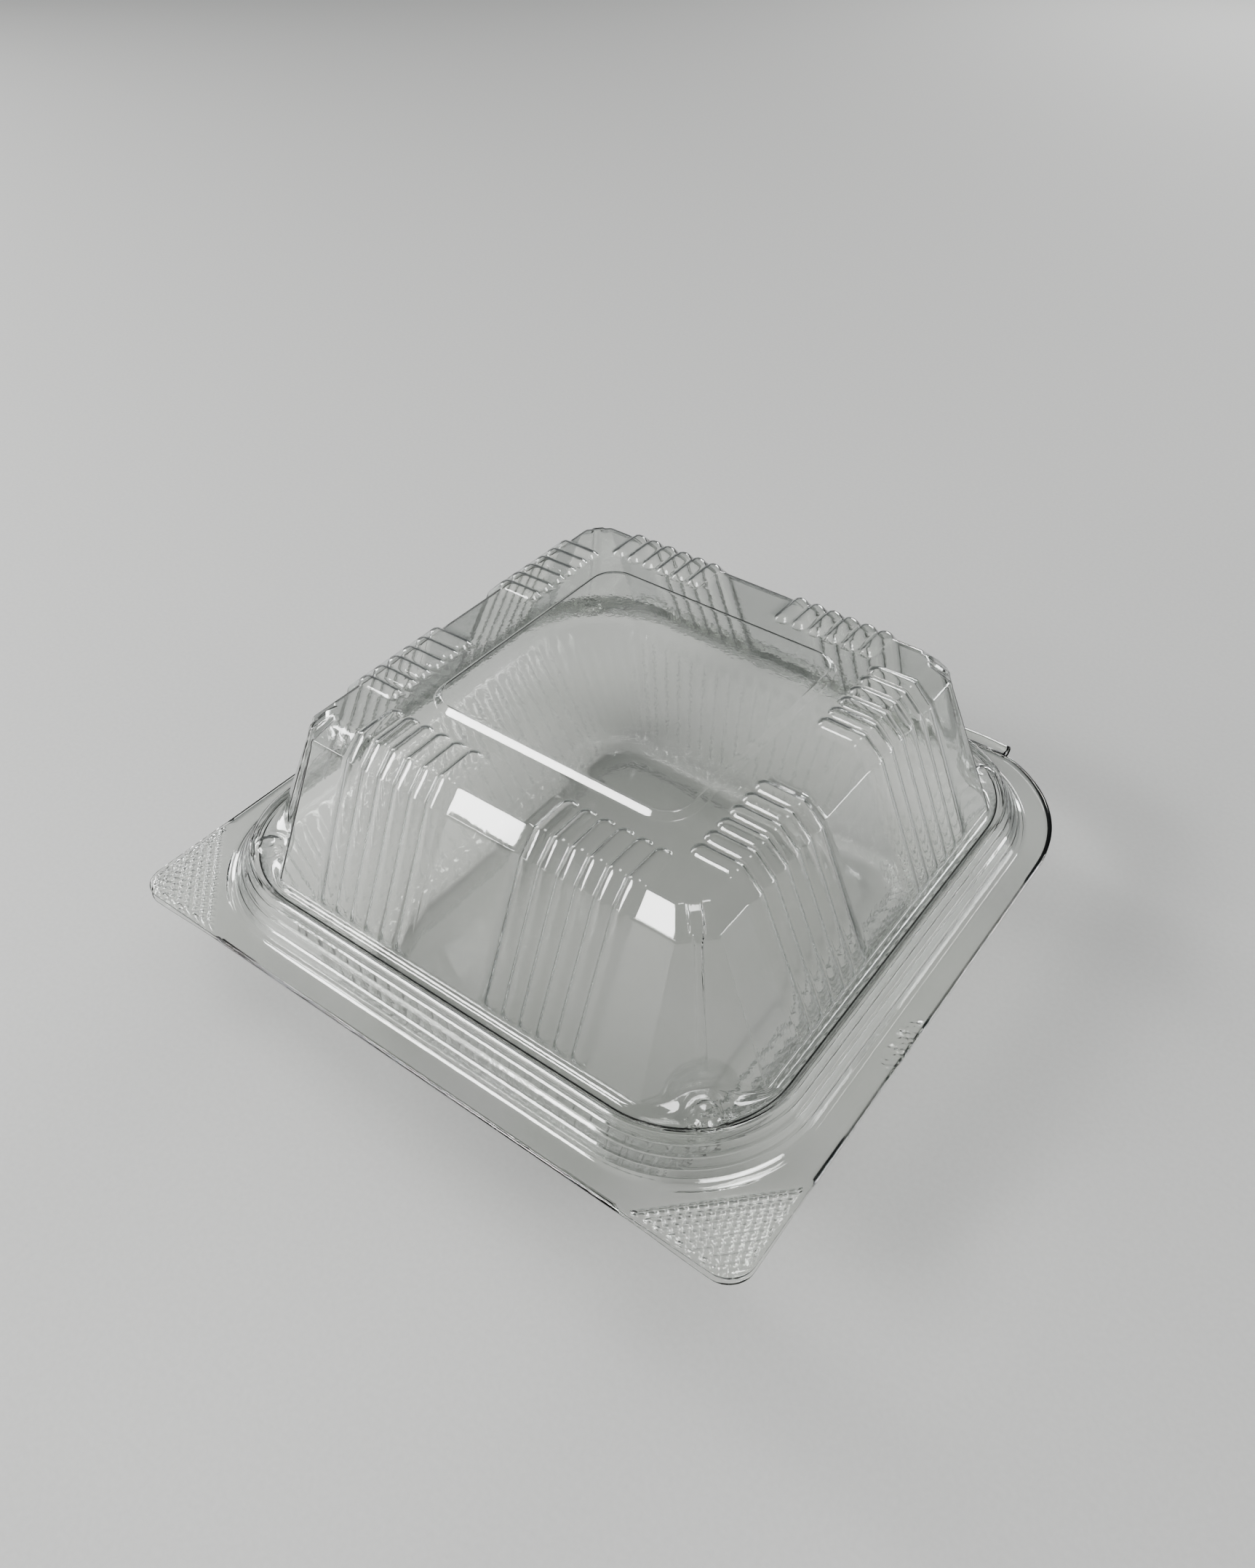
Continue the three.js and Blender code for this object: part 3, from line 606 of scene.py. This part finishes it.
def build_tray():
    C = 40.5
    rows = []   # (half x, half y, z, kind, radius, side scale, flute amount, mix)
    def add(hx, hy, z, kind, r=0.0, flute=0.0, mix=None):
        rows.append((hx, hy, z, kind, r, flute, mix))
    add(HALF, HALF, TRAY_Z, "flange")
    add(74.0, 74.0, TRAY_Z, "flange", mix=0.3)
    add(72.2, 72.2, TRAY_Z, "flange", mix=0.7)
    add(70.9, 70.9, TRAY_Z, "arc", 70.9 - C)
    rim = filleted([(70.3, TRAY_Z), (69.3, 30.35), (68.55, 30.6), (66.7, 34.0), (66.1, 34.4), (64.6, 37.0), (63.95, 37.35), (63.1, 37.3), (62.72, 33.2), (62.3, 31.6)],
                   [0.5, 0.25, 0.5, 0.25, 0.45, 0.45, 0.5, 0.8], [1, 1, 1, 3, 1, 3, 1, 1, 3, 2])
    for h, z in rim:
        add(h, h, z, "arc", h - C)
    # fluted wall
    top = (62.1, 62.1, 31.2, 21.6)
    heel = (47.6, 55.7, 4.6, 13.5)
    for s in (0.02, 0.05, 0.09, 0.15, 0.24, 0.35, 0.46, 0.58, 0.7, 0.8, 0.88, 0.94, 0.98, 1.0):
        hx, hy, z, r = (a + (b - a) * s for a, b in zip(top, heel))
        add(hx, hy, z, "arc", r, float(smooth(np.array((s - 0.01) / 0.08))))
    # heel into the floor
    hx, hy, r = heel[0], heel[1], heel[3]
    for k, a in enumerate(np.linspace(0.1, 1.0, 11)):
        ang = a * math.pi / 2 * 0.97
        run = 4.3
        add(hx - run * math.sin(ang) * 0.9 - 0.25 * a, hy - run * math.sin(ang) * 0.9 - 0.25 * a,
            4.6 - 4.2 * (1 - math.cos(ang)), "arc", r - 3.2 * a, 1.0 - float(smooth(np.array((a - 0.62) / 0.3))))
    fx, fy = rows[-1][0], rows[-1][1]
    zf = SHEET + 0.02
    add(fx - 1.2, fy - 1.2, zf, "arc", 9.4)
    add(fx - 4.4, fy - 4.4, zf, "arc", 8.4)
    # a shallow ring step in the floor
    add(fx - 5.0, fy - 5.0, zf + 0.10, "arc", 8.0)
    add(fx - 5.8, fy - 5.8, zf + 0.55, "arc", 7.6)
    add(fx - 6.5, fy - 6.5, zf + 0.66, "arc", 7.2)
    for s in (0.8, 0.55, 0.3, 0.12, 0.03):
        add((fx - 6.5) * s, (fy - 6.5) * s, zf + 0.66, "arc", 7.2 * s)
    V = []
    cols = None
    for hx, hy, z, kind, r, flute, mix in rows:
        P, N, ph = [], [], []
        for k, (n, d) in enumerate(FRAMES):
            w, l = (hy, hx) if k % 2 == 0 else (hx, hy)
            back = kind == "flange" and k == 2
            ww = BACK if back else w
            if kind == "flange":
                half_run = STRAIGHT
            else:
                half_run = l - r
            u = TRAY_SIDE * (half_run / STRAIGHT)
            P.append(n[None, :] * ww + d[None, :] * u[:, None])
            N.append(np.repeat(n[None, :], len(u), 0))
            ph.append((TRAY_SIDE + STRAIGHT) / (2 * STRAIGHT) * FLUTES_SIDE)
            t = TRAY_T[k]
            if kind == "flange":
                al, ou = tray_corner("flange", None, k, t)
                if mix:
                    al2, ou2 = tray_corner("arc", (70.9, 70.9, 70.9 - C), k, t)
                    al, ou = al * (1 - mix) + al2 * mix, ou * (1 - mix) + ou2 * mix
            else:
                al, ou = tray_corner("arc", (l, w, r), k, t)
            P.append(n[None, :] * ou[:, None] + d[None, :] * al[:, None])
            a = (t * math.pi / 2)[:, None]
            N.append(n[None, :] * np.cos(a) + d[None, :] * np.sin(a))
            ph.append(t * FLUTES_CORNER)
        P, N, ph = np.vstack(P), np.vstack(N), np.concatenate(ph)
        cols = len(P)
        wave = np.abs(np.sin(math.pi * ph)) ** 0.8       # rounded flutes, narrow valleys
        off = (0.32 - wave) * 0.9 * flute
        P = P + N * off[:, None]
        V.append(np.column_stack([P, np.full(cols, z)]))
    faces = grid_faces(len(rows), cols, True)
    V = np.vstack(V)
    base = len(V)
    V = np.vstack([V, V[-cols:].mean(0)])
    last = (len(rows) - 1) * cols
    for i in range(cols):
        faces.append((last + i, last + (i + 1) % cols, base))
    V, faces = add_tabs(V, faces, TRAY_Z, -1, TRAY_T[0])
    V = relax(V, TRAY_Z, 0.04)
    V, faces = weld(V, faces)
    return thicken(V, faces, SHEET)


# ------------------------------------------------------------------ fold
def build_fold():
    """The strip that joins the two flanges, folded back on itself behind the box."""
    mid = [(BACK, TRAY_Z - SHEET / 2), (BACK + 0.5, TRAY_Z - SHEET / 2 - 0.03)]
    for a in np.linspace(-158, -14, 14):
        mid.append((AXIS_Y + 1.52 * math.cos(math.radians(a)), AXIS_Z + 1.52 * math.sin(math.radians(a))))
    for a in np.linspace(-8, 16, 7):
        f = (a + 8) / 24
        r = 1.52 + (1.12 - 1.52) * (f * f * (3 - 2 * f))
        mid.append((AXIS_Y + r * math.cos(math.radians(a)), AXIS_Z + r * math.sin(math.radians(a))))
    for a in np.linspace(24, 148, 12):
        mid.append((AXIS_Y + 1.12 * math.cos(math.radians(a)), AXIS_Z + 1.12 * math.sin(math.radians(a))))
    mid += [(BACK + 0.9, LID_Z - SHEET / 2 + 0.03), (BACK, LID_Z - SHEET / 2)]
    mid = np.array(mid)
    d = np.gradient(mid, axis=0)
    d /= np.linalg.norm(d, axis=1)[:, None]
    n = np.column_stack([d[:, 1], -d[:, 0]])   # to the outside of the fold
    half = 0.15
    outer, inner = mid + n * half, mid - n * half
    xs = np.linspace(-53.8, 53.8, 140)
    k = len(mid)
    V, faces = [], []
    for x in xs:
        # the ends of the strip draw in a little, and its curl is never even
        pinch = 1 - 0.10 * smooth(np.array((abs(x) - 49) / 5.0))
        wob = 0.05 * math.sin(x * 0.31) + 0.03 * math.sin(x * 0.83 + 1)
        for loop in (outer, inner[::-1]):
            for y, z in loop:
                yy = BACK + (y - BACK) * pinch + wob * smooth(np.array((y - BACK - 1.0) / 2.5))
                V.append((x, float(yy), z))
    m = 2 * k
    for i in range(len(xs) - 1):
        for j in range(m):
            jj = (j + 1) % m
            faces.append((i * m + jj, (i + 1) * m + jj, (i + 1) * m + j, i * m + j))
    for i, flip in ((0, True), (len(xs) - 1, False)):
        for j in range(k - 1):
            a, b = i * m + j, i * m + j + 1
            c, e = i * m + (m - 2 - j), i * m + (m - 1 - j)
            f = (a, b, c, e)
            faces.append(f[::-1] if flip else f)
    return np.array(V), faces


# ------------------------------------------------------------- materials
def clear_sheet(name):
    mat = bpy.data.materials.new(name)
    mat.use_nodes = True
    nt = mat.node_tree
    for n in list(nt.nodes):
        nt.nodes.remove(n)
    out = nt.nodes.new("ShaderNodeOutputMaterial")
    mix = nt.nodes.new("ShaderNodeMixShader")
    glass = nt.nodes.new("ShaderNodeBsdfPrincipled")
    clear = nt.nodes.new("ShaderNodeBsdfTransparent")
    path = nt.nodes.new("ShaderNodeLightPath")
    tc = nt.nodes.new("ShaderNodeTexCoord")
    glass.inputs["Transmission Weight"].default_value = 1.0
    glass.inputs["IOR"].default_value = 1.57
    glass.inputs["Metallic"].default_value = 0.0
    # colour: a faint warm variation where the sheet is thicker
    n1 = nt.nodes.new("ShaderNodeTexNoise")
    n1.inputs["Scale"].default_value = 38.0
    n1.inputs["Detail"].default_value = 3.0
    ramp = nt.nodes.new("ShaderNodeValToRGB")
    ramp.color_ramp.elements[0].position = 0.35
    ramp.color_ramp.elements[0].color = (0.955, 0.965, 0.945, 1)
    ramp.color_ramp.elements[1].position = 0.75
    ramp.color_ramp.elements[1].color = (0.99, 0.992, 0.985, 1)
    nt.links.new(tc.outputs["Object"], n1.inputs["Vector"])
    nt.links.new(n1.outputs["Fac"], ramp.inputs["Fac"])
    # seen edge-on the sheet darkens to a cool grey: partly the longer path through the sheet, mostly painted shade that
    # darkens edges and rib sides more than clear sheet would
    lw = nt.nodes.new("ShaderNodeLayerWeight")
    lw.inputs["Blend"].default_value = 0.5
    edge = nt.nodes.new("ShaderNodeMapRange")
    edge.interpolation_type = "SMOOTHSTEP"
    edge.inputs["From Min"].default_value = 0.20
    edge.inputs["From Max"].default_value = 1.0
    edge.inputs["To Min"].default_value = 0.0
    edge.inputs["To Max"].default_value = 1.0
    grazing_shade_tint = nt.nodes.new("ShaderNodeMix")
    grazing_shade_tint.data_type = "RGBA"
    # cool grey of the painted shade at grazing view
    grazing_shade_tint.inputs["B"].default_value = (0.43, 0.46, 0.46, 1)
    nt.links.new(lw.outputs["Facing"], edge.inputs["Value"])
    nt.links.new(edge.outputs["Result"], grazing_shade_tint.inputs["Factor"])
    nt.links.new(ramp.outputs["Color"], grazing_shade_tint.inputs["A"])
    nt.links.new(grazing_shade_tint.outputs["Result"], glass.inputs["Base Color"])
    # roughness: clean gloss with fine scuffs and a dusting of haze
    n2 = nt.nodes.new("ShaderNodeTexNoise")
    n2.inputs["Scale"].default_value = 260.0
    n2.inputs["Detail"].default_value = 6.0
    n2.inputs["Roughness"].default_value = 0.65
    mr = nt.nodes.new("ShaderNodeMapRange")
    mr.inputs["From Min"].default_value = 0.35
    mr.inputs["From Max"].default_value = 0.8
    mr.inputs["To Min"].default_value = 0.01
    mr.inputs["To Max"].default_value = 0.06
    nt.links.new(tc.outputs["Object"], n2.inputs["Vector"])
    nt.links.new(n2.outputs["Fac"], mr.inputs["Value"])
    nt.links.new(mr.outputs["Result"], glass.inputs["Roughness"])
    # bump: slow draw-down waves, then the fine orange peel left by the mould
    n3 = nt.nodes.new("ShaderNodeTexNoise")
    n3.inputs["Scale"].default_value = 75.0
    n3.inputs["Detail"].default_value = 1.5
    b1 = nt.nodes.new("ShaderNodeBump")
    b1.inputs["Strength"].default_value = 0.12
    b1.inputs["Distance"].default_value = 0.0007
    n4 = nt.nodes.new("ShaderNodeTexNoise")
    n4.inputs["Scale"].default_value = 620.0
    n4.inputs["Detail"].default_value = 2.0
    b2 = nt.nodes.new("ShaderNodeBump")
    b2.inputs["Strength"].default_value = 0.10
    b2.inputs["Distance"].default_value = 0.00015
    nt.links.new(tc.outputs["Object"], n3.inputs["Vector"])
    nt.links.new(tc.outputs["Object"], n4.inputs["Vector"])
    nt.links.new(n3.outputs["Fac"], b1.inputs["Height"])
    nt.links.new(n4.outputs["Fac"], b2.inputs["Height"])
    nt.links.new(b1.outputs["Normal"], b2.inputs["Normal"])
    nt.links.new(b2.outputs["Normal"], glass.inputs["Normal"])
    pale = nt.nodes.new("ShaderNodeMix")
    pale.data_type = "RGBA"
    pale.inputs["A"].default_value = (0.98, 0.982, 0.978, 1)
    pale.inputs["B"].default_value = (0.45, 0.465, 0.465, 1)
    nt.links.new(edge.outputs["Result"], pale.inputs["Factor"])
    nt.links.new(pale.outputs["Result"], clear.inputs["Color"])
    nt.links.new(path.outputs["Is Shadow Ray"], mix.inputs["Fac"])
    nt.links.new(glass.outputs[0], mix.inputs[1])
    nt.links.new(clear.outputs[0], mix.inputs[2])
    nt.links.new(mix.outputs[0], out.inputs["Surface"])
    return mat


def floor_material():
    mat = bpy.data.materials.new("floor_paper")
    mat.use_nodes = True
    nt = mat.node_tree
    b = nt.nodes["Principled BSDF"]
    tc = nt.nodes.new("ShaderNodeTexCoord")
    n = nt.nodes.new("ShaderNodeTexNoise")
    n.inputs["Scale"].default_value = 900.0
    n.inputs["Detail"].default_value = 4.0
    r = nt.nodes.new("ShaderNodeValToRGB")
    r.color_ramp.elements[0].color = (0.54, 0.54, 0.53, 1)
    r.color_ramp.elements[1].color = (0.60, 0.60, 0.59, 1)
    nt.links.new(tc.outputs["Object"], n.inputs["Vector"])
    nt.links.new(n.outputs["Fac"], r.inputs["Fac"])
    nt.links.new(r.outputs["Color"], b.inputs["Base Color"])
    b.inputs["Roughness"].default_value = 0.75
    b.inputs["Specular IOR Level"].default_value = 0.2
    return mat


# ----------------------------------------------------------------- build
MAT = clear_sheet("clear_plastic")

V, F = build_lid()
lid = new_object("lid_sheet", V, F)
lid.data.materials.append(MAT)
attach(lid, "lid")
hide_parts("lid_dome", "lid_rim", "lid_tab_left", "lid_tab_right")

V, F = build_tray()
tray = new_object("tray_sheet", V, F)
tray.data.materials.append(MAT)
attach(tray, "tray")
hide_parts("tray_well", "tray_rim", "tray_tab_left", "tray_tab_right")

V, F = build_fold()
fold = new_object("fold_strip", V, F)
fold.data.materials.append(MAT)
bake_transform(fold)
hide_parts("hinge_lid_leaf", "hinge_tray_leaf")

# floor
me = bpy.data.meshes.new("floor")
S = 3.0
me.from_pydata([(-S, -S, 0), (S, -S, 0), (S, S, 0), (-S, S, 0)], [], [(0, 1, 2, 3)])
floor = bpy.data.objects.new("floor", me)
bpy.context.scene.collection.objects.link(floor)
floor.location.z = -0.0001
floor.data.materials.append(floor_material())


# ---------------------------------------------------------------- lights
def soft_light(name, direction, distance, size, power, colour=(1, 1, 1), target=(0, 0, 0.045)):
    d = Vector(direction).normalized()
    data = bpy.data.lights.new(name, "AREA")
    data.shape = "RECTANGLE"
    data.size, data.size_y = size
    data.energy = power
    data.color = colour
    ob = bpy.data.objects.new(name, data)
    bpy.context.scene.collection.objects.link(ob)
    ob.location = Vector(target) + d * distance
    ob.rotation_mode = "QUATERNION"
    ob.rotation_quaternion = d.to_track_quat("Z", "Y")
    return ob


soft_light("softbox_front_left", (-0.44, -0.67, 0.60), 1.2, (0.50, 0.30), 8.5)
soft_light("strip_left", (-0.95, 0.05, 0.42), 1.2, (0.16, 0.62), 3.6)
soft_light("strip_right", (0.80, 0.58, 0.19), 1.2, (0.70, 0.15), 4.0)
soft_light("strip_back", (-0.05, 0.95, 0.30), 1.3, (0.60, 0.14), 3.6)
soft_light("strip_front", (-0.42, -0.84, 0.32), 1.2, (0.80, 0.10), 3.6)
soft_light("overhead", (0.35, 0.05, 0.93), 1.3, (0.45, 0.45), 4.5)

world = bpy.data.worlds.new("studio")
bpy.context.scene.world = world
world.use_nodes = True
bg = world.node_tree.nodes["Background"]
bg.inputs["Color"].default_value = (0.30, 0.31, 0.32, 1)
bg.inputs["Strength"].default_value = 0.38

# ---------------------------------------------------------------- camera
AZ, EL, ROLL = math.radians(36.29), math.radians(42.047), math.radians(0.288)
UNIT = 1.5 * MM
DIST, TX, TY, FOCAL = 190.446, -1.352, 7.29, 1784.096
pos = Vector((math.sin(AZ) * math.cos(EL), -math.cos(AZ) * math.cos(EL), math.sin(EL)))
fwd = -pos
right = Vector((math.cos(AZ), math.sin(AZ), 0))
up = right.cross(fwd)
r2 = right * math.cos(ROLL) + up * math.sin(ROLL)
u2 = -right * math.sin(ROLL) + up * math.cos(ROLL)
loc = (pos * DIST + right * TX + up * TY) * UNIT + Vector((0, 0, LID_Z * MM))
cam_data = bpy.data.cameras.new("camera")
cam_data.sensor_fit = "HORIZONTAL"
cam_data.sensor_width = 36.0
cam_data.lens = FOCAL / 1725 * 36.0
cam_data.clip_start, cam_data.clip_end = 0.01, 20
cam = bpy.data.objects.new("camera", cam_data)
bpy.context.scene.collection.objects.link(cam)
M = Matrix.Identity(4)
for i, axis in enumerate((r2, u2, -fwd)):
    for j in range(3):
        M[j][i] = axis[j]
M.translation = loc
cam.matrix_world = M
bpy.context.scene.camera = cam

sc = bpy.context.scene
sc.cycles.max_bounces = 22
sc.cycles.transmission_bounces = 22
sc.cycles.glossy_bounces = 8
sc.cycles.transparent_max_bounces = 48
sc.cycles.diffuse_bounces = 2
sc.cycles.caustics_reflective = False
sc.cycles.caustics_refractive = False
sc.cycles.sample_clamp_indirect = 6.0
sc.cycles.blur_glossy = 0.6
sc.view_settings.view_transform = "AgX"
sc.view_settings.look = "AgX - High Contrast"

bpy.context.view_layer.update()
